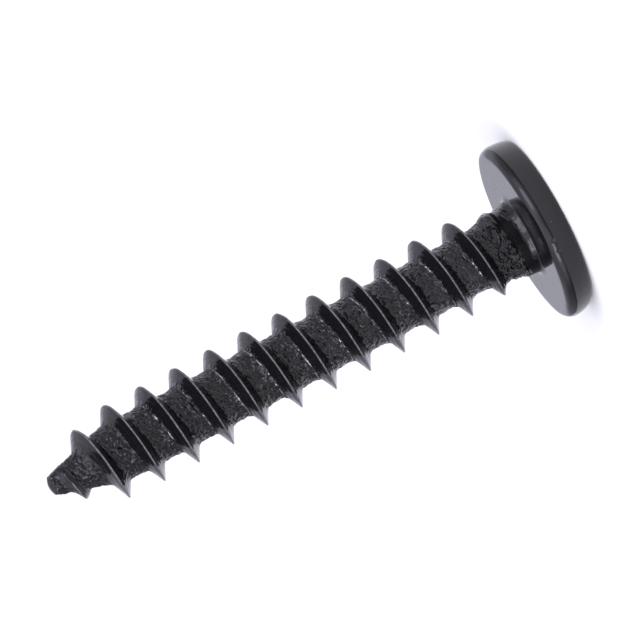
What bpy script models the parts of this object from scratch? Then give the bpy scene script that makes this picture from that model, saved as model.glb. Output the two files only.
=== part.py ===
"""Self-tapping screw, 4.2 x 25 mm: a coarse right-hand thread on a blunt point, under a thin disc head
with a cross recess.

The screw is one piece of steel. It stands on its head: the middle of the driven face is the origin,
the shank runs up +Z, and the -Y side is the front.
"""

import math

import bmesh
import bpy
import numpy as np

MM = 0.001

# Head: a thin disc whose edge is rounded over its full thickness
head_diameter = 8.4 * MM
head_thickness = 1.34 * MM
bearing_corner_width = 0.42 * MM
bearing_corner_height = 0.46 * MM
driven_corner_width = 0.38 * MM
head_segments = 64
corner_segments = 5

# Cross recess: four tapered wings round an eight-sided pilot
recess_span = 4.1 * MM
wing_width = 1.0 * MM
wing_depth = 0.8 * MM
wing_end_slope = 0.55
wing_side_slope = 0.1
pilot_diameter = 1.9 * MM
pilot_floor_diameter = 0.6 * MM
pilot_depth = 1.05 * MM
pilot_sides = 8

# Shank and thread
shank_length = 23.8 * MM
thread_diameter = 4.2 * MM
core_diameter = 2.72 * MM
thread_pitch = 1.72 * MM
crest_flat = 0.07 * MM
flank_run = 0.33 * MM
root_fillet_run = 0.1 * MM
root_fillet_rise = 0.07 * MM
root_hollow = 0.055 * MM
first_crest_height = 0.65 * MM
thread_segments = 36

# Neck under the head, where the thread runs out
neck_diameter = 3.5 * MM
neck_length = 2.8 * MM
neck_curve = 1.5
neck_fillet_run = 0.35 * MM
neck_fillet_rise = 0.18 * MM
run_out_gap = 0.85 * MM
run_out_length = 2.1 * MM

# Point: the core narrows as a cone, the crests fall in an arc, and the end is blunt
point_length = 3.0 * MM
point_end_diameter = 0.8 * MM
point_rounding = 0.3 * MM
crest_fall_length = 3.55 * MM
crest_fall_curve = 3.0
crest_end_gap = 0.35 * MM

# Reach of a cut or of a joined body past the surface it meets
overlap = 0.3 * MM
merge_distance = 0.001 * MM
smooth_angle = math.radians(35)

core_radius = core_diameter / 2
thread_radius = thread_diameter / 2
neck_radius = neck_diameter / 2
bearing_height = head_thickness
end_height = bearing_height + shank_length


def clear_scene():
    for old in list(bpy.data.objects):
        bpy.data.objects.remove(old, do_unlink=True)


def new_collection(name):
    collection = bpy.data.collections.new(name)
    bpy.context.scene.collection.children.link(collection)
    return collection


def black_steel():
    material = bpy.data.materials.new("black_steel")
    material.use_nodes = True
    shader = material.node_tree.nodes["Principled BSDF"]
    shader.inputs["Base Color"].default_value = (0.012, 0.012, 0.014, 1.0)
    shader.inputs["Metallic"].default_value = 0.3
    shader.inputs["Roughness"].default_value = 0.35
    return material


def new_object(name, mesh, collection):
    made = bpy.data.objects.new(name, mesh)
    collection.objects.link(made)
    return made


def as_cutter(tool):
    tool.hide_render = True
    tool.display_type = "WIRE"


def evaluated_mesh(source):
    """The mesh of an object with its modifiers applied."""
    depsgraph = bpy.context.evaluated_depsgraph_get()
    return bpy.data.meshes.new_from_object(source.evaluated_get(depsgraph))


def profile_object(name, points, collection):
    """An open outline in the XZ plane, listed from its top down its outer side."""
    mesh = bpy.data.meshes.new(name)
    edges = [(i, i + 1) for i in range(len(points) - 1)]
    mesh.from_pydata([(radius, 0.0, height) for radius, height in points], edges, [])
    return new_object(name, mesh, collection)


def turn(target, segments, rise=0.0, turns=1):
    """Carry an outline round the Z axis, climbing by rise on each turn."""
    screw = target.modifiers.new("turn", "SCREW")
    screw.axis = "Z"
    screw.angle = 2 * math.pi
    screw.screw_offset = rise
    screw.iterations = turns
    screw.steps = segments
    screw.render_steps = segments
    screw.use_merge_vertices = rise == 0.0
    screw.merge_threshold = merge_distance


def combine(target, tool, operation):
    boolean = target.modifiers.new(tool.name, "BOOLEAN")
    boolean.operation = operation
    boolean.object = tool
    boolean.solver = "EXACT"


def corner(outer_radius, width, height_at_rim, height_at_face):
    """A quarter ellipse, from the end of the flat face out to the rim."""
    points = []
    for step in range(corner_segments + 1):
        angle = 0.5 * math.pi * step / corner_segments
        radius = outer_radius - width + width * math.sin(angle)
        height = height_at_rim + (height_at_face - height_at_rim) * math.cos(angle)
        points.append((radius, height))
    return points


def head_outline():
    """Half section of the head, from the axis at the neck's fillet to the axis on the driven face."""
    rim_radius = head_diameter / 2
    rim_height = bearing_height - bearing_corner_height
    fillet_slope = neck_fillet_rise / neck_fillet_run
    fillet_top = bearing_height + neck_fillet_rise + overlap * fillet_slope
    points = [(0.0, fillet_top), (neck_radius - overlap, fillet_top)]
    points += [(neck_radius + neck_fillet_run, bearing_height)]
    points += corner(rim_radius, bearing_corner_width, rim_height, bearing_height)
    points += corner(rim_radius, driven_corner_width, rim_height, 0.0)[-2::-1]
    points += [(0.0, 0.0)]
    return points


def thread_outline(lowest_crest):
    """One pitch of the full thread, from the middle of the root above the crest to the one below it."""
    half_pitch = thread_pitch / 2
    crest_edge = crest_flat / 2
    flank_foot = crest_edge + flank_run
    fillet_end = flank_foot + root_fillet_run
    upper_half = [
        (core_radius - root_hollow, half_pitch),
        (core_radius, fillet_end),
        (core_radius + root_fillet_rise, flank_foot),
        (thread_radius, crest_edge),
    ]
    lower_half = [(radius, -offset) for radius, offset in reversed(upper_half)]
    return [(radius, lowest_crest + offset) for radius, offset in upper_half + lower_half]


def core_at(height):
    """Core radius along the shank: a flared neck, a plain core, then the cone of the point."""
    to_neck = np.clip(1 - (height - bearing_height) / neck_length, 0, 1)
    flare = (neck_radius - core_radius) * to_neck**neck_curve
    along_point = np.clip((height - (end_height - point_length)) / point_length, 0, None)
    cone = (core_radius - point_end_diameter / 2) * along_point
    return np.maximum(core_radius + flare - cone, point_end_diameter / 4)


def crest_at(height):
    """Crest radius along the shank: it rises out of the neck and falls in an arc to the point."""
    run_out = np.clip((height - bearing_height - run_out_gap) / run_out_length, 0, 1)
    rising = core_at(height) + (thread_radius - core_radius) * np.sin(0.5 * np.pi * run_out)
    fall = np.clip(1 - (end_height - crest_end_gap - height) / crest_fall_length, 0, 1)
    falling = thread_radius * (1 - fall**crest_fall_curve)
    return np.maximum(np.minimum(rising, falling), core_at(height))


def fit_to_shank(mesh):
    """Move each point of the even thread in or out, so that core and crest follow the shank."""
    points = np.empty(len(mesh.vertices) * 3)
    mesh.vertices.foreach_get("co", points)
    points = points.reshape(-1, 3)
    radius = np.hypot(points[:, 0], points[:, 1])
    height = points[:, 2]
    share = (radius - core_radius) / (thread_radius - core_radius)
    fitted = core_at(height) + share * (crest_at(height) - core_at(height))
    points[:, :2] *= (fitted / radius)[:, None]
    mesh.vertices.foreach_set("co", points.ravel())


def cut_flat(work, height, keep_above):
    """Cut the open thread off level at a height, and close the cut."""
    geometry = work.verts[:] + work.edges[:] + work.faces[:]
    cut = bmesh.ops.bisect_plane(
        work,
        geom=geometry,
        dist=merge_distance,
        plane_co=(0.0, 0.0, height),
        plane_no=(0.0, 0.0, 1.0),
        clear_inner=keep_above,
        clear_outer=not keep_above,
    )
    edges = [item for item in cut["geom_cut"] if isinstance(item, bmesh.types.BMEdge)]
    bmesh.ops.contextual_create(work, geom=edges)


def make_point_blank(collection):
    """The outline that the point is held to: a round nose, a wide cone and a clear cylinder."""
    clear_radius = thread_radius + head_thickness
    nose_radius = point_end_diameter / 2
    cone_top = end_height - point_rounding
    outline = []
    for step in range(corner_segments + 1):
        angle = 0.5 * math.pi * step / corner_segments
        outline.append((nose_radius * math.sin(angle), cone_top + point_rounding * math.cos(angle)))
    outline.append((clear_radius, cone_top - (clear_radius - nose_radius)))
    outline.append((clear_radius, 0.0))
    outline.append((0.0, 0.0))
    blank = profile_object("point_blank", outline, collection)
    blank.rotation_euler.z = math.pi / thread_segments
    turn(blank, thread_segments)
    as_cutter(blank)
    return blank


def make_shank(collection):
    """The threaded shank: one pitch carried up a helix, fitted to the shank and closed at both ends."""
    foot_height = bearing_height - overlap
    front_turn = 0.75
    crest_at_start = bearing_height + first_crest_height - front_turn * thread_pitch
    turns_below = math.ceil((crest_at_start + 1.5 * thread_pitch - foot_height) / thread_pitch)
    lowest_crest = crest_at_start - turns_below * thread_pitch
    turns = math.ceil((end_height + overlap - lowest_crest) / thread_pitch) + 1
    ribbon = profile_object("thread_ribbon", thread_outline(lowest_crest), collection)
    turn(ribbon, thread_segments, thread_pitch, turns)
    mesh = evaluated_mesh(ribbon)
    bpy.data.objects.remove(ribbon, do_unlink=True)
    work = bmesh.new()
    work.from_mesh(mesh)
    bmesh.ops.remove_doubles(work, verts=work.verts[:], dist=merge_distance)
    cut_flat(work, foot_height, keep_above=True)
    cut_flat(work, end_height + overlap, keep_above=False)
    bmesh.ops.recalc_face_normals(work, faces=work.faces[:])
    work.to_mesh(mesh)
    work.free()
    fit_to_shank(mesh)
    shank = new_object("shank", mesh, collection)
    combine(shank, make_point_blank(collection), "INTERSECT")
    as_cutter(shank)
    return shank


def make_wing_pair(name, along_x, collection):
    """Two opposite wings of the recess, as one bar whose ends and sides lean in towards its floor."""
    mouth = (recess_span / 2 + overlap * wing_end_slope, wing_width / 2 + overlap * wing_side_slope)
    floor = (recess_span / 2 - wing_depth * wing_end_slope, wing_width / 2 - wing_depth * wing_side_slope)
    work = bmesh.new()
    bmesh.ops.create_cube(work, size=2.0)
    for vertex in work.verts:
        length, width = floor if vertex.co.z > 0 else mouth
        x, y = (length, width) if along_x else (width, length)
        height = wing_depth if vertex.co.z > 0 else -overlap
        vertex.co = (vertex.co.x * x, vertex.co.y * y, height)
    mesh = bpy.data.meshes.new(name)
    work.to_mesh(mesh)
    work.free()
    bar = new_object(name, mesh, collection)
    as_cutter(bar)
    return bar


def make_pilot(collection):
    """The eight-sided middle of the recess, which narrows to its floor."""
    slope = (pilot_diameter - pilot_floor_diameter) / 2 / pilot_depth
    depth = pilot_depth + overlap
    work = bmesh.new()
    bmesh.ops.create_cone(
        work,
        cap_ends=True,
        segments=pilot_sides,
        radius1=pilot_diameter / 2 + overlap * slope,
        radius2=pilot_floor_diameter / 2,
        depth=depth,
    )
    bmesh.ops.translate(work, verts=work.verts[:], vec=(0.0, 0.0, depth / 2 - overlap))
    mesh = bpy.data.meshes.new("pilot")
    work.to_mesh(mesh)
    work.free()
    pilot = new_object("pilot", mesh, collection)
    as_cutter(pilot)
    return pilot


def make_screw(parts, cutters):
    """The head, joined to the shank and cut by the recess, as one solid."""
    blank = profile_object("head_blank", head_outline(), cutters)
    turn(blank, head_segments)
    combine(blank, make_shank(cutters), "UNION")
    combine(blank, make_wing_pair("wings_x", True, cutters), "DIFFERENCE")
    combine(blank, make_wing_pair("wings_y", False, cutters), "DIFFERENCE")
    combine(blank, make_pilot(cutters), "DIFFERENCE")
    mesh = evaluated_mesh(blank)
    as_cutter(blank)
    mesh.name = "screw"
    mesh.shade_smooth()
    mesh.set_sharp_from_angle(angle=smooth_angle)
    mesh.materials.clear()
    mesh.materials.append(black_steel())
    return new_object("screw", mesh, parts)


clear_scene()
screw_parts = new_collection("self_tapping_screw")
screw_cutters = new_collection("cutters")
make_screw(screw_parts, screw_cutters)
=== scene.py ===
import itertools
import math

import bmesh
import bpy
import numpy as np
from mathutils import Matrix, Vector


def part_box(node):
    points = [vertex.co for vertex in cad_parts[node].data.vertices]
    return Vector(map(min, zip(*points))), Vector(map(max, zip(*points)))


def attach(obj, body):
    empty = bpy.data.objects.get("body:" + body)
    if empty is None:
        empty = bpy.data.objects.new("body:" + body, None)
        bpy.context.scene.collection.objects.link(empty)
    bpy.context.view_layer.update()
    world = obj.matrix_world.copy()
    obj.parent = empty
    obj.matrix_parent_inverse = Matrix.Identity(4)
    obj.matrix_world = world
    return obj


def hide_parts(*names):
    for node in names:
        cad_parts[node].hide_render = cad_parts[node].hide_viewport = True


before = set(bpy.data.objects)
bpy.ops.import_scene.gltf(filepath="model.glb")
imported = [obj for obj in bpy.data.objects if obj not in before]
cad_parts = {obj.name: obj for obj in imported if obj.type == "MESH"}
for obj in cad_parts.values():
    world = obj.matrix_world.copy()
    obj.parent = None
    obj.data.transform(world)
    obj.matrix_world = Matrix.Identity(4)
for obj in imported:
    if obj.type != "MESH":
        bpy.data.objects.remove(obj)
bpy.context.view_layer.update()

# The screw
# One piece of steel wire: the head is cold-formed with its cross recess, and the thread is rolled on.
# It is made as one closed skin. A ribbon one pitch wide climbs the shank from crest to crest, and level
# rings carry it on round the neck, the head and the recess below, and round the nose above.
MM = 0.001  # sizes are in millimetres, and heights are above the driven face
highest_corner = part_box("screw")[1]
head_radius = highest_corner.x / MM
end_height = highest_corner.z / MM
head_thickness = 1.34
bearing_corner = (0.42, 0.46)
bearing_corner_change = 0.1
bearing_corner_waver = 0.04
bearing_waver_length = 0.8
driven_corner_width = 0.38
driven_corner_change = 0.15

thread_radius = 2.1
core_radius = 1.39
pitch = 1.72
crest_flat = 0.06
flank_run = 0.345
root_softness = 0.05
crest_softness = 0.018
root_hollow = 0.065
first_crest_height = 0.65
first_crest_turn = -0.25

neck_radius = 1.75
neck_length = 2.5
neck_curve = 1.5
neck_fillet = (0.3, 0.1)
run_out_gap = 0.85
run_out_length = 2.1

point_length = 3.15
point_end_radius = 0.4
point_softness = 0.12
point_bend = 0.04
nose_height = 0.35
crest_fall_length = 3.6
crest_fall_curve = 2.0

steps_per_turn = 120
ribbon_rows = 46
neck_rings = 15
fillet_rings = 9
bearing_rings = 10
corner_rings = 15
nose_rings = 16


def wander(points, seed):
    """Smooth random values in -1..1: each corner of the unit lattice has its own value, mixed from its
    numbers and the seed, and inside a cell they are blended by the ease curve 3t^2 - 2t^3 along every
    axis."""
    cell = np.floor(points).astype(np.int64)
    part = points - cell
    ease = part * part * (3 - 2 * part)
    primes = np.array([73856093, 19349663, 83492791])[: points.shape[-1]]
    total = np.zeros(points.shape[:-1])
    for corner in itertools.product((0, 1), repeat=points.shape[-1]):
        weight = np.prod(np.where(corner, ease, 1 - ease), axis=-1)
        key = np.bitwise_xor.reduce((cell + corner) * primes, axis=-1) + seed * 2654435761
        key = ((key ^ (key >> 15)) * 2246822519) & 0xFFFFFFFF
        key = ((key ^ (key >> 13)) * 3266489917) & 0xFFFFFFFF
        total += weight * ((key ^ (key >> 16)) / 0x7FFFFFFF - 1)
    return total


def patches(place, length, width, seed):
    """Smooth random values by place, one length long across the screw's axis and one width along it."""
    return wander(place / np.array([length] * (place.shape[-1] - 1) + [width]), seed)


def layered(place, layers):
    """Sum of such values in layers, each with its height, length, width and seed."""
    return sum(height * patches(place, length, width, seed) for height, length, width, seed in layers)


def soft_ramp(value, softness):
    """Zero below zero and the value itself above, with a round corner: s log(1 + exp(x / s))."""
    return softness * np.logaddexp(0, value / softness)


def step_up(value):
    """Smooth step from 0 to 1 while the value goes from 0 to 1: the ease curve 3t^2 - 2t^3."""
    value = np.clip(value, 0, 1)
    return value * value * (3 - 2 * value)


def core_at(height):
    """Core radius: the neck flares by a power of the distance to the head, and the point is a cone."""
    to_neck = np.clip(1 - (height - head_thickness) / neck_length, 0, 1)
    along_point = soft_ramp(height - (end_height - point_length), point_softness) / point_length
    flare = (neck_radius - core_radius) * to_neck**neck_curve
    return core_radius + flare - (core_radius - point_end_radius) * along_point


def crest_at(height):
    """Crest radius: it rises from the neck as a quarter sine and falls to the point as a power curve."""
    run_out = np.clip((height - head_thickness - run_out_gap) / run_out_length, 0, 1)
    rising = core_at(height) + (thread_radius - core_radius) * np.sin(0.5 * np.pi * run_out)
    fall = np.clip(1 - (end_height - height) / crest_fall_length, 0, 1)
    falling = thread_radius * (1 - fall**crest_fall_curve)
    return np.maximum(np.minimum(rising, falling), core_at(height))


def thread_share(offset):
    """Share of the thread's height at a distance along the axis from the nearest crest: 1 on the flat
    of the crest, a straight flank down to 0 in the root, and a soft corner at each end of the flank."""
    ramp = 1 - (np.abs(offset) - crest_flat / 2) / flank_run
    return soft_ramp(ramp, root_softness) - soft_ramp(ramp - 1, crest_softness)


def groove_place(angle, height):
    """Where a point lies between two crests: the angle wound up since the first crest, and the
    distance along the axis from the crest below, from 0 to the pitch."""
    turns = angle / (2 * np.pi) - first_crest_turn
    climb = height - head_thickness - first_crest_height - turns * pitch
    grooves = np.floor(climb / pitch)
    return angle + 2 * np.pi * grooves, climb - grooves * pitch


endless = 50.0  # a width so large that a layer hardly changes along the axis
ridge_rise = 0.24
ridge_waver = 0.05
ridge_edge = 0.1
ridge_height = 0.17
ridge_lead = 0.6
ridge_drop = (0.45, 0.4)
swelling_reach = 0.3
swelling_height = 0.02
swelling_top = 2.2
swelling_fade = 0.9
crease_height = 0.09
wrinkle_height = 0.07
lip_height = 0.1
lip_waver = 0.35
lip_top = 0.3
lip_slope = 0.22
lip_turns = (-0.13, 0.19)
lip_fade_turns = (0.05, 0.1)


def neck_marks(angle, height, spot):
    """Heights over the neck at the front, where the thread starts. A straight slope rises to a ridge
    that climbs with the thread, and drops behind it by the ease curve. Behind the ridge is a swelling
    crumpled by random values, some of them folded, and by the head a smooth lip. Also gives how far a
    place is past the ridge and in the swelling."""
    turned = (angle / (2 * np.pi) - first_crest_turn + 0.5) % 1 - 0.5
    facing = np.clip(swelling_reach + np.cos(2 * np.pi * turned), 0, 1)
    ridge_start = head_thickness + first_crest_height + ridge_rise
    ridge = ridge_start + pitch * turned + ridge_waver * patches(spot, 0.35, endless, 12)
    past_ridge = step_up((height - ridge) / ridge_edge)
    fade = step_up((head_thickness + swelling_top - height) / swelling_fade)
    swollen = facing * past_ridge * fade
    creases = crease_height * (0.5 - np.abs(patches(spot, 0.3, 0.16, 13)))
    wrinkles = wrinkle_height * patches(spot, 0.17, 0.11, 14)
    crumpled = swollen * (swelling_height + (creases + wrinkles))
    lead = np.clip((height - ridge) / ridge_lead + 1, 0, 1)
    drop = step_up((ridge + ridge_drop[0] - height) / ridge_drop[1])
    slope = ridge_height * facing * lead * drop
    lip_start = step_up((turned - lip_turns[0]) / lip_fade_turns[0])
    lip_end = step_up((lip_turns[1] - turned) / lip_fade_turns[1])
    lip_fall = np.clip((head_thickness + lip_top - height) / lip_slope, 0, 1)
    lip = lip_height * (lip_start * lip_end) * lip_fall * (1 + lip_waver * patches(spot, 0.4, endless, 15))
    return crumpled + slope + lip, past_ridge, swollen


root_fade = 3
run_out_fade = 3
before_ridge_mask = 0.25
swelling_mask = 1.3
root_layers = [(0.024, 0.42, 0.16, 3), (0.017, 0.2, 0.1, 4), (0.008, 0.1, 0.06, 7)]
head_fade = 0.25
fold_height = 0.034
fold_width = 0.032
fold_place = 0.43
fold_waver = 0.02
fold_coverage = 0.6
fold_layers = [(0.6, 0.35, endless, 5), (0.5, 0.13, endless, 10)]
fold_fade_start = 5.5
fold_fade_length = 2
fold_fade_share = 0.8
flank_fade = 4
flank_end_share = 0.99
flank_end_fade = 6
flank_layers = [(0.006, 0.35, 0.2, 16)]
point_flank_layers = [(0.014, 0.3, 0.3, 21)]
crest_wave = 0.014
crest_waves_per_radian = 4.5
tip_start = 2.4
tip_run = 1.2
tip_layers = [(0.045, 0.5, 0.35, 17), (0.03, 0.25, 0.2, 18)]


def shank_radius(angle, height):
    """Core radius plus the thread's share of its height, less the hollow of the root. The rolled root
    is rough, and a broken fold, a bell curve across, runs along the foot of the flank that faces the
    point. Flanks and crests waver a little, the tip is lumpy and the neck has its marks. Also gives
    the masks of the coating."""
    wound, above = groove_place(angle, height)
    upper = above > pitch / 2
    offset = above - pitch * upper
    share = thread_share(offset)
    core = core_at(height)
    full = crest_at(height) - core
    depth = np.clip(full / (thread_radius - core_radius), 0, 1)
    half_root = pitch / 2 - flank_run - crest_flat / 2
    from_middle = np.clip((pitch / 2 - np.abs(offset)) / half_root, 0, 1)
    hollow = root_hollow * (1 - from_middle**2) * depth
    root = np.clip(1 - share * root_fade, 0, 1)
    rolled = np.stack([core_radius * wound, above], -1)
    spot = np.stack([core * np.cos(angle), core * np.sin(angle), height], -1)

    fold_size = np.clip(fold_coverage + layered(rolled, fold_layers), 0, 1)
    to_point = np.clip((height - end_height + fold_fade_start) / fold_fade_length, 0, 1)
    fold_path = fold_place + fold_waver * patches(rolled, 0.5, endless, 9)
    fold = fold_size * depth * (1 - fold_fade_share * to_point)
    fold = fold * np.exp(-(((offset - fold_path) / fold_width) ** 2))
    off_head = np.clip((height - head_thickness - neck_fillet[1]) / head_fade, 0, 1)
    uneven = (layered(rolled, root_layers) * root + fold_height * fold) * off_head

    thread_side = np.clip(share * flank_fade, 0, 1) * depth
    point_flank = thread_side * np.clip((flank_end_share - share) * flank_end_fade, 0, 1) * ~upper
    wavy = layered(spot, flank_layers) * thread_side + layered(spot, point_flank_layers) * point_flank
    along_crest = (wound + 2 * np.pi * upper)[..., None]
    wavy = wavy + share**3 * crest_wave * wander(along_crest * crest_waves_per_radian, 6) * depth
    to_tip = np.clip((height - end_height + tip_start) / tip_run, 0, 1)
    lumpy = to_tip * layered(spot, tip_layers)
    neck, past_ridge, swollen = neck_marks(angle, height, spot)
    radius = core + full * share - hollow + uneven + wavy + neck + lumpy
    rough = off_head * (before_ridge_mask + (1 - before_ridge_mask) * past_ridge) + swelling_mask * swollen
    thread = share * np.clip(depth * run_out_fade, 0, 1)
    return radius, {"share": thread, "root": root * rough, "fold": fold}


fine_places = 2001
crest_crowding = (5, 0.06)
fold_crowding = (1.5, 0.42, 0.1)


def ribbon():
    """The threaded shank as a grid: one row for each step round the helix, one column for each place
    between a crest and the next, closer together at the crests and the folds. Height is the helix
    plus the place times the pitch. On the first and the last turn the columns close up like a fan, to
    meet a level ring."""
    start = head_thickness + first_crest_height
    steps = int((end_height - nose_height - start) / pitch * steps_per_turn) + steps_per_turn
    place = np.linspace(0, 1, fine_places)
    near_crest = np.minimum(place, 1 - place) * pitch
    at_crest = np.exp(-((near_crest / crest_crowding[1]) ** 2))
    at_fold = np.exp(-(((near_crest - fold_crowding[1]) / fold_crowding[2]) ** 2))
    crowd = 1 + crest_crowding[0] * at_crest + fold_crowding[0] * at_fold
    reach = np.concatenate([[0], np.cumsum((crowd[1:] + crowd[:-1]) / 2)])
    across = np.interp(np.linspace(0, reach[-1], ribbon_rows + 1), reach, place)
    turn = np.arange(steps + 1)[:, None] / steps_per_turn
    last = turn[-1, 0]
    below = np.clip(turn - 1, 0, None)
    above = np.minimum(turn, last - 1)
    height = start + pitch * (below + (above - below) * across[None, :])
    angle = 2 * np.pi * (turn + first_crest_turn) + 0 * height
    return angle, height


def ring_angles():
    """Angles of a level ring, at the same steps round the axis as the ribbon."""
    return 2 * np.pi * (np.arange(steps_per_turn + 1) / steps_per_turn + first_crest_turn)


def level_rings(radii, heights):
    """Level rings from a column of heights and as many radii, one a ring or one for every step."""
    radius = radii + 0 * heights + 0 * ring_angles()
    height = heights + 0 * radius
    return np.stack([radius * np.cos(ring_angles()), radius * np.sin(ring_angles()), height], -1)


def driven_edge():
    """Radius at which the driven face starts. The corner there is sharper on the +X side."""
    return head_radius - driven_corner_width + driven_corner_change * np.cos(ring_angles())


def head_rows():
    """Rings from the neck out along the bearing face and round the rim to the driven face: a quarter
    ellipse for the fillet, a flat, and a quarter ellipse for each corner of the rim."""
    fillet_run, fillet_rise = neck_fillet
    quarter = np.linspace(0, 0.5 * np.pi, fillet_rings)[:, None]
    fillet_height = head_thickness + fillet_rise * (1 - np.sin(quarter))
    top_radius = shank_radius(ring_angles(), head_thickness + fillet_rise + 0 * ring_angles())[0]
    fillet_radius = top_radius + fillet_run * (1 - np.cos(quarter))
    rim = np.stack([head_radius * np.cos(ring_angles()), head_radius * np.sin(ring_angles())], -1)
    corner_width, corner_height = bearing_corner
    corner_width = corner_width - bearing_corner_change * np.clip(np.cos(ring_angles()), 0, 1)
    corner_width = corner_width + bearing_corner_waver * wander(rim / bearing_waver_length, 20)
    flat = np.linspace(fillet_radius[-1], head_radius - corner_width, bearing_rings)[1:]
    quarter = np.linspace(0, 0.5 * np.pi, corner_rings)[1:, None]
    upper_radius = head_radius - corner_width + corner_width * np.sin(quarter)
    upper_height = head_thickness - corner_height + corner_height * np.cos(quarter)
    lower_height = (head_thickness - corner_height) * (1 - np.sin(quarter))
    lower_radius = driven_edge() + (head_radius - driven_edge()) * np.cos(quarter)
    rows = [(fillet_radius, fillet_height), (flat, head_thickness), (upper_radius, upper_height)]
    rows.append((lower_radius, lower_height))
    return np.concatenate([level_rings(radii, heights) for radii, heights in rows])


recess_half_span = 2.05
mouth_chamfer = (0.03, 0.06)
wing_half_width = 0.5
wing_depth = 0.8
wing_floor_edge = 0.02
wing_end_slope = 0.55
wing_side_slope = 0.1
wall_depths = (mouth_chamfer[1], 0.2, 0.5, wing_depth - wing_floor_edge)
pilot_radius = 0.95
pilot_floor_radius = 0.3
pilot_inner_radius = 0.15
pilot_depth = 1.05
pilot_slope = (pilot_radius - pilot_floor_radius) / pilot_depth
face_shares = (0.0, 0.02, 0.2, 0.4, 0.6, 0.8, 0.97, 1.0)
facet_steps = 5
least_facet_angle = 0.02
least_cosine = 1e-9


def recess_ring(depth, inward=0.0):
    """Outline of the cross at a depth: the farther of two crossed bars and an octagon, seen from the
    middle. The steps round it are spaced so that one falls on every corner."""
    half_span = recess_half_span - depth * wing_end_slope
    half_width = wing_half_width - depth * wing_side_slope
    pilot = pilot_radius - depth * pilot_slope
    edge = pilot * math.cos(np.pi / 8)
    wing_corner = math.atan2(half_width, half_span)
    meet = math.atan2(half_width, pilot - half_width * math.tan(np.pi / 8))
    if half_width * math.sqrt(2) > pilot:
        meet = np.pi / 4 - least_facet_angle
    sector = steps_per_turn // 8
    stops = [0, sector // 3, sector - facet_steps, sector]
    eighth = np.interp(np.arange(sector + 1), stops, [0, wing_corner, meet, np.pi / 4])
    quarter = np.concatenate([eighth, np.pi / 2 - eighth[-2::-1]])
    whole = np.concatenate([quarter[:-1] + side * np.pi / 2 for side in range(4)] + [[2 * np.pi]])
    angle = whole + 2 * np.pi * first_crest_turn
    cosine = np.maximum(np.abs(np.cos(angle)), least_cosine)
    sine = np.maximum(np.abs(np.sin(angle)), least_cosine)
    bar_x = np.minimum(half_span / cosine, half_width / sine)
    bar_y = np.minimum(half_width / cosine, half_span / sine)
    facet = (angle + np.pi / 8) % (np.pi / 4) - np.pi / 8
    octagon = edge / np.cos(np.pi / 8 - np.abs(facet))
    radius = np.maximum(np.maximum(bar_x, bar_y), octagon) - inward
    return np.stack([radius * np.cos(angle), radius * np.sin(angle), 0 * angle + depth], -1)


def recess_rows():
    """Rings from the driven face into the recess: a straight blend from the circle of the rim to the
    mouth of the cross, its outline at each depth of the walls and on the floor, then level rings down
    the cone of the pilot."""
    mouth = recess_ring(0.0, -mouth_chamfer[0])
    face_edge = level_rings(driven_edge(), np.array([[0.0]]))[0]
    face = face_edge + (mouth - face_edge) * np.array(face_shares)[:, None, None]
    wall = np.stack([recess_ring(depth) for depth in wall_depths])
    floor_edge = recess_ring(wing_depth, wing_floor_edge)
    pilot_mouth = pilot_radius - wing_depth * pilot_slope
    pilot_middle = (pilot_mouth + pilot_floor_radius) / 2
    radii = np.array([pilot_mouth, pilot_middle, pilot_floor_radius, pilot_inner_radius, 0.0])
    middle_depth = (wing_depth + pilot_depth) / 2
    depths = np.array([wing_depth, middle_depth, pilot_depth, pilot_depth, pilot_depth])
    pilot = level_rings(radii[:, None], depths[:, None])
    return np.concatenate([face, wall, floor_edge[None], pilot])


nose_layers = [(0.2, 0.3, 0.3, 11), (0.12, 0.14, 0.14, 19)]


def nose_rows(base):
    """Rings from the end of the thread over the blunt nose to the axis: a quarter ellipse, roughened
    by random shares of its radius that fade out at the base and at the axis."""
    quarter = np.linspace(0, 0.5 * np.pi, nose_rings)[:, None]
    top = base[0, 2]
    angle = np.arctan2(base[:, 1], base[:, 0])
    radius = np.hypot(base[:, 0], base[:, 1]) * np.cos(quarter)
    height = top + (end_height - top) * np.sin(quarter) + 0 * angle
    place = np.stack([radius * np.cos(angle), radius * np.sin(angle), height], -1)
    rough = layered(place, nose_layers) * np.sin(2 * quarter)
    place[..., :2] *= (1 + rough)[..., None]
    return place


def grid_faces(rows, columns, first):
    """Quads between neighbouring rows and columns of a grid whose first point has the given number."""
    row, column = np.meshgrid(np.arange(rows - 1), np.arange(columns - 1), indexing="ij")
    corner = (first + row * columns + column).ravel()
    return np.stack([corner, corner + 1, corner + columns + 1, corner + columns], 1)


merge_distance = 0.00001
sharp_edge = 55


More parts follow.
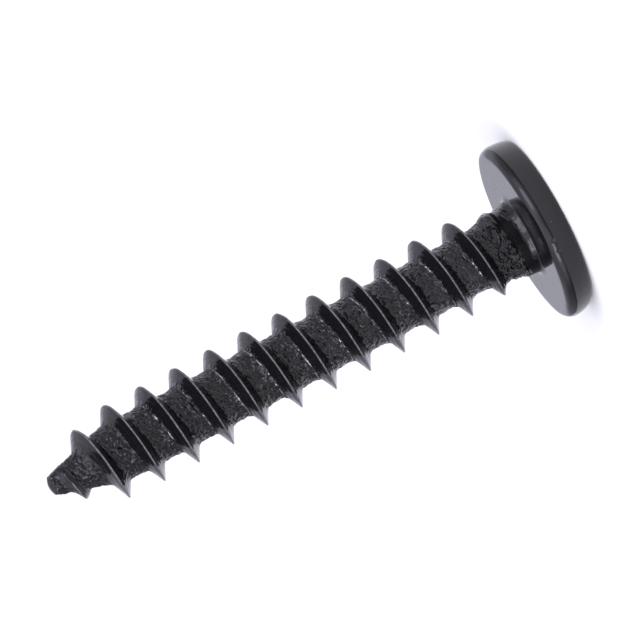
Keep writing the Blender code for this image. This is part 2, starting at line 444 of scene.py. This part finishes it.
def make_screw():
    """All grids in one mesh, merged where they meet. The point is bent by the square of the way along
    it. The masks of the shank and the neck are attributes, and they are 0 on the head and the nose."""
    thread_start = head_thickness + first_crest_height
    neck_heights = np.linspace(thread_start, head_thickness + neck_fillet[1], neck_rings)[:, None]
    masks = {"share": [], "root": [], "fold": []}
    grids = []
    for angle, height in [ribbon(), np.broadcast_arrays(ring_angles(), neck_heights)]:
        radius, values = shank_radius(angle, height)
        grids.append(np.stack([radius * np.cos(angle), radius * np.sin(angle), height], -1))
        for name in masks:
            masks[name].append(values[name].ravel())
    grids += [head_rows(), recess_rows(), nose_rows(grids[0][-1 - steps_per_turn :, -1])]
    points = np.concatenate([grid.reshape(-1, 3) for grid in grids])
    along_point = np.clip((points[:, 2] - end_height + point_length) / point_length, 0, 1)
    points[:, 0] += point_bend * along_point**2
    faces = []
    first = 0
    for grid in grids:
        faces.append(grid_faces(grid.shape[0], grid.shape[1], first))
        first += grid.shape[0] * grid.shape[1]
    mesh = bpy.data.meshes.new("screw_skin")
    mesh.from_pydata(points * MM, [], np.concatenate(faces).tolist())
    for name, parts in masks.items():
        values = np.concatenate(parts)
        whole = np.zeros(len(points), np.float32)
        whole[: values.size] = values
        mesh.attributes.new(name, "FLOAT", "POINT").data.foreach_set("value", whole)
    work = bmesh.new()
    work.from_mesh(mesh)
    bmesh.ops.remove_doubles(work, verts=work.verts[:], dist=merge_distance * MM)
    bmesh.ops.recalc_face_normals(work, faces=work.faces[:])
    work.to_mesh(mesh)
    work.free()
    mesh.shade_smooth()
    mesh.set_sharp_from_angle(angle=math.radians(sharp_edge))
    made = bpy.data.objects.new("screw_skin", mesh)
    bpy.context.scene.collection.objects.link(made)
    return made


class Wire:
    """A shader socket. Arithmetic on it adds Math nodes, and node() adds a node of any other type."""

    def __init__(self, tree, socket=None):
        self.tree = tree
        self.socket = socket

    def node(self, kind, inputs, settings=None, output=0):
        made = self.tree.nodes.new(kind)
        for name, value in (settings or {}).items():
            setattr(made, name, value)
        for name, value in inputs.items():
            if isinstance(value, Wire):
                self.tree.links.new(value.socket, made.inputs[name])
            else:
                made.inputs[name].default_value = value
        return Wire(self.tree, made.outputs[output] if len(made.outputs) else None)

    def math(self, operation, first, second=0.0):
        return self.node("ShaderNodeMath", {0: first, 1: second}, {"operation": operation})

    def __add__(self, other):
        return self.math("ADD", self, other)

    def __sub__(self, other):
        return self.math("SUBTRACT", self, other)

    def __rsub__(self, other):
        return self.math("SUBTRACT", other, self)

    def __mul__(self, other):
        return self.math("MULTIPLY", self, other)

    __radd__ = __add__
    __rmul__ = __mul__


def soft_step(value, low, high, at_low=0.0, at_high=1.0):
    """A smooth step from one result to another while the value goes from low to high."""
    limits = {"Value": value, "From Min": low, "From Max": high, "To Min": at_low, "To Max": at_high}
    return value.node("ShaderNodeMapRange", limits, {"interpolation_type": "SMOOTHSTEP"})


def new_tree(name):
    """A material with an empty node tree, and a wire that adds nodes to it."""
    material = bpy.data.materials.new(name)
    material.use_nodes = True
    material.node_tree.nodes.clear()
    return material, Wire(material.node_tree)


coating_black = (0.007, 0.007, 0.0078, 1.0)
thin_coating = (0.17, 0.17, 0.18, 1.0)
worn_steel = (0.36, 0.36, 0.39, 1.0)
smooth_roughness = 0.1
root_roughness = 0.08
grain_roughness = 0.06
worn_metallic = 0.8
thin_shares = (0.95, 1.0)
line_shares = (0.40, 0.50, 0.52, 0.62)
worn_folds = (0.55, 0.8)
coating_relief = 0.11
crinkle_lift = 2.1
fine_crinkle_lift = 0.2
coarse_lift = 0.065
fine_lift = 0.01
line_depth = 0.07
dent_depth = 0.3
dent_floor = 0.3
coarse_grain = 3000.0
fine_grain = 9000.0
bearing_dents = [(2.43, 0.53, 1.34, 0.1), (-2.46, -1.05, 1.34, 0.08)]
rim_dents = [(0.24, -4.14, 0.38, 0.09), (-0.03, -4.2, 0.76, 0.09)]
rim_dents += [(-0.8, -4.1, 1.02, 0.12), (-1.3, -3.98, 1.0, 0.1)]


def black_coating():
    """Glossy black coating: smooth on the flanks and head, crinkled in the roots, thin at the crests
    and worn bright where the folds stand up. A faint line follows the flank, and the head has a few
    dents, each with its place and radius."""
    material, wire = new_tree("black_steel")
    place = wire.node("ShaderNodeTexCoord", {}, output="Object")

    def mask(name):
        return wire.node("ShaderNodeAttribute", {}, {"attribute_name": name}, output="Fac")

    def grain(scale, detail):
        return wire.node("ShaderNodeTexNoise", {"Vector": place, "Scale": scale, "Detail": detail})

    def blend(factor, first, second):
        colors = {"Factor": factor, 6: first, 7: second}
        return wire.node("ShaderNodeMix", colors, {"data_type": "RGBA"}, output=2)

    def dent(x, y, z, radius):
        ends = {0: place, 1: (x * MM, y * MM, z * MM)}
        away = wire.node("ShaderNodeVectorMath", ends, {"operation": "DISTANCE"}, output="Value")
        return soft_step(away, radius * MM, dent_floor * radius * MM)

    root = mask("root")
    share = mask("share")
    fold = mask("fold")
    coarse = grain(coarse_grain, 1.0)
    fine = grain(fine_grain, 2.0)
    crest = soft_step(share, *thin_shares)
    worn = soft_step(fold * (fine + 0.5), *worn_folds)
    color = blend(crest * (fine * 2.0 - 0.3), coating_black, thin_coating)
    color = blend(worn, color, worn_steel)

    crinkles = wire.math("ABSOLUTE", coarse - 0.5) * crinkle_lift + (fine - 0.5) * fine_crinkle_lift
    line_start, line_top, line_fall, line_end = line_shares
    flank_line = soft_step(share, line_start, line_top) * soft_step(share, line_end, line_fall)
    dents = sum(dent(*spot) for spot in bearing_dents + rim_dents)
    lift = crinkles * root * (1.0 - fold * 0.8)
    lift = lift + (coarse - 0.5) * coarse_lift + (fine - 0.5) * fine_lift
    lift = lift - dents * dent_depth - flank_line * line_depth
    relief = {"Height": lift, "Strength": 1.0, "Distance": coating_relief * MM}
    finish = {
        "Base Color": color,
        "Metallic": worn * worn_metallic,
        "Roughness": root * root_roughness + smooth_roughness + (fine - 0.5) * grain_roughness,
        "Normal": wire.node("ShaderNodeBump", relief),
        "IOR": 1.46,
    }
    wire.node("ShaderNodeOutputMaterial", {"Surface": wire.node("ShaderNodeBsdfPrincipled", finish)})
    return material


screw = make_screw()
screw.data.materials.append(black_coating())
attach(screw, "root")
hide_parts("screw")

# Floor
# A white sheet that lies under the head and runs on behind it, on a grey table that is darker to the
# left. To the camera and in reflections the sheet is as white as the backdrop, and it keeps the
# screw's soft shadow.
floor_half = 10.0
floor_drop = 0.02 * MM
sheet_sides = (0.03, 0.07)
sheet_front = (-0.055, -0.03)
sheet_tone = 0.85
sheet_glow = 0.12
table_sides = (-0.08, 0.0)
table_tones = (0.3, 0.5)
floor_blue = 0.97
floor_mesh = bpy.data.meshes.new("floor")
floor_corners = [(-floor_half, -floor_half, 0), (floor_half, -floor_half, 0)]
floor_corners += [(floor_half, floor_half, 0), (-floor_half, floor_half, 0)]
floor_mesh.from_pydata(floor_corners, [], [(0, 1, 2, 3)])
floor = bpy.data.objects.new("floor", floor_mesh)
bpy.context.scene.collection.objects.link(floor)
floor_material, wire = new_tree("floor_white")
coordinates = wire.node("ShaderNodeTexCoord", {}, output="Object")
across = wire.node("ShaderNodeSeparateXYZ", {"Vector": coordinates}, output="X")
along = wire.node("ShaderNodeSeparateXYZ", {"Vector": coordinates}, output="Y")
sheet = soft_step(across, -sheet_sides[1], -sheet_sides[0]) * soft_step(across, *sheet_sides, 1.0, 0.0)
sheet = sheet * soft_step(along, *sheet_front)
table = soft_step(across, *table_sides, *table_tones)
tone = table + (sheet_tone - table) * sheet
grey = wire.node("ShaderNodeCombineColor", {0: tone, 1: tone, 2: tone * floor_blue})
paint = wire.node("ShaderNodeBsdfDiffuse", {"Color": grey})
ray_kinds = ("Is Camera Ray", "Is Glossy Ray", "Is Transmission Ray")
rays = sum(wire.node("ShaderNodeLightPath", {}, output=kind) for kind in ray_kinds)
glow = {"Color": (1.0, 1.0, 1.0, 1.0), "Strength": rays * sheet * sheet_glow}
both = wire.node("ShaderNodeAddShader", {0: paint, 1: wire.node("ShaderNodeEmission", glow)})
wire.node("ShaderNodeOutputMaterial", {"Surface": both})
floor_mesh.materials.append(floor_material)
floor.location.z = -floor_drop

# Light
# A plain, slightly cool white studio round the screw, with two soft boxes above the camera, one on each
# side. The walls are paler above, dull along the horizon, behind the screw and at both sides, and they
# glow at the upper left, at the upper right and overhead.
studio_white = (0.97, 0.97, 1.12, 1.0)
lamp_white = (0.9, 0.9, 1.0)
world = bpy.data.worlds.new("studio")
bpy.context.scene.world = world
world.use_nodes = True
world.node_tree.nodes.clear()
wire = Wire(world.node_tree)
direction = wire.node("ShaderNodeTexCoord", {}, output="Generated")


def toward(axis, low, high, at_low, at_high):
    """A smooth step over how nearly a direction points along an axis, as the dot product of the two."""
    ends = {0: direction, 1: axis}
    nearness = wire.node("ShaderNodeVectorMath", ends, {"operation": "DOT_PRODUCT"}, output="Value")
    return soft_step(nearness, low, high, at_low, at_high)


surround = toward((0.0, 0.25, 1.0), 0.05, 0.35, 0.4, 0.9)
dull_left = toward((-0.82, 0.57, 0.0), 0.62, 0.85, 1.0, 0.45)
dull_right = toward((0.97, 0.15, 0.2), 0.80, 0.95, 1.0, 0.65)
dull_back = toward((0.0, 0.77, 0.64), 0.86, 0.97, 1.0, 0.7)
left_glow = toward((-0.54, -0.60, 0.59), 0.76, 0.96, 0.0, 0.8)
right_glow = toward((0.50, -0.50, 0.71), 0.76, 0.96, 0.0, 0.7)
top_glow = toward((0.0, -0.17, 0.985), 0.93, 0.985, 0.0, 0.7)
level = surround * dull_left * dull_right * dull_back + left_glow + right_glow + top_glow
studio = wire.node("ShaderNodeBackground", {"Color": studio_white, "Strength": level})
wire.node("ShaderNodeOutputWorld", {"Surface": studio})


def soft_box(name, place, size, power):
    """A round lamp at a place, turned to the screw's foot."""
    data = bpy.data.lights.new(name, "AREA")
    data.shape = "DISK"
    data.size = size
    data.energy = power
    data.color = lamp_white
    lamp = bpy.data.objects.new(name, data)
    lamp.location = place
    lamp.rotation_euler = Vector(place).to_track_quat("Z", "Y").to_euler()
    bpy.context.scene.collection.objects.link(lamp)


soft_box("left_box", (-0.16, -0.18, 0.175), 0.13, 0.15)
soft_box("right_box", (0.15, -0.15, 0.21), 0.16, 0.15)

# Camera
# A long lens that looks down a little on the standing screw. It is rolled so that the shank points to
# the lower left, as in the photograph. The lens is worked out for an image of 640 x 640 pixels.
image_size = 640
photo_scale = 0.04389 * MM
camera_distance = 0.365
camera_elevation = math.radians(9.0)
shank_in_image = math.radians(28.04)
target = Vector((0.932 * MM, 0.0, 11.09 * MM))
towards = Vector((0.0, -math.cos(camera_elevation), math.sin(camera_elevation)))
upward = Vector((0.0, math.sin(camera_elevation), math.cos(camera_elevation)))
sideways = Vector((1.0, 0.0, 0.0))
image_right = -math.cos(shank_in_image) * upward - math.sin(shank_in_image) * sideways
image_up = -math.sin(shank_in_image) * upward + math.cos(shank_in_image) * sideways
camera_data = bpy.data.cameras.new("camera")
camera_data.sensor_width = 36.0
camera_data.lens = camera_data.sensor_width * camera_distance / (image_size * photo_scale)
camera_data.clip_start = 0.01
camera = bpy.data.objects.new("camera", camera_data)
turned = Matrix((image_right, image_up, towards)).transposed().to_4x4()
camera.matrix_world = Matrix.Translation(target + towards * camera_distance) @ turned
bpy.context.scene.collection.objects.link(camera)
bpy.context.scene.camera = camera
bpy.context.scene.view_settings.view_transform = "Standard"
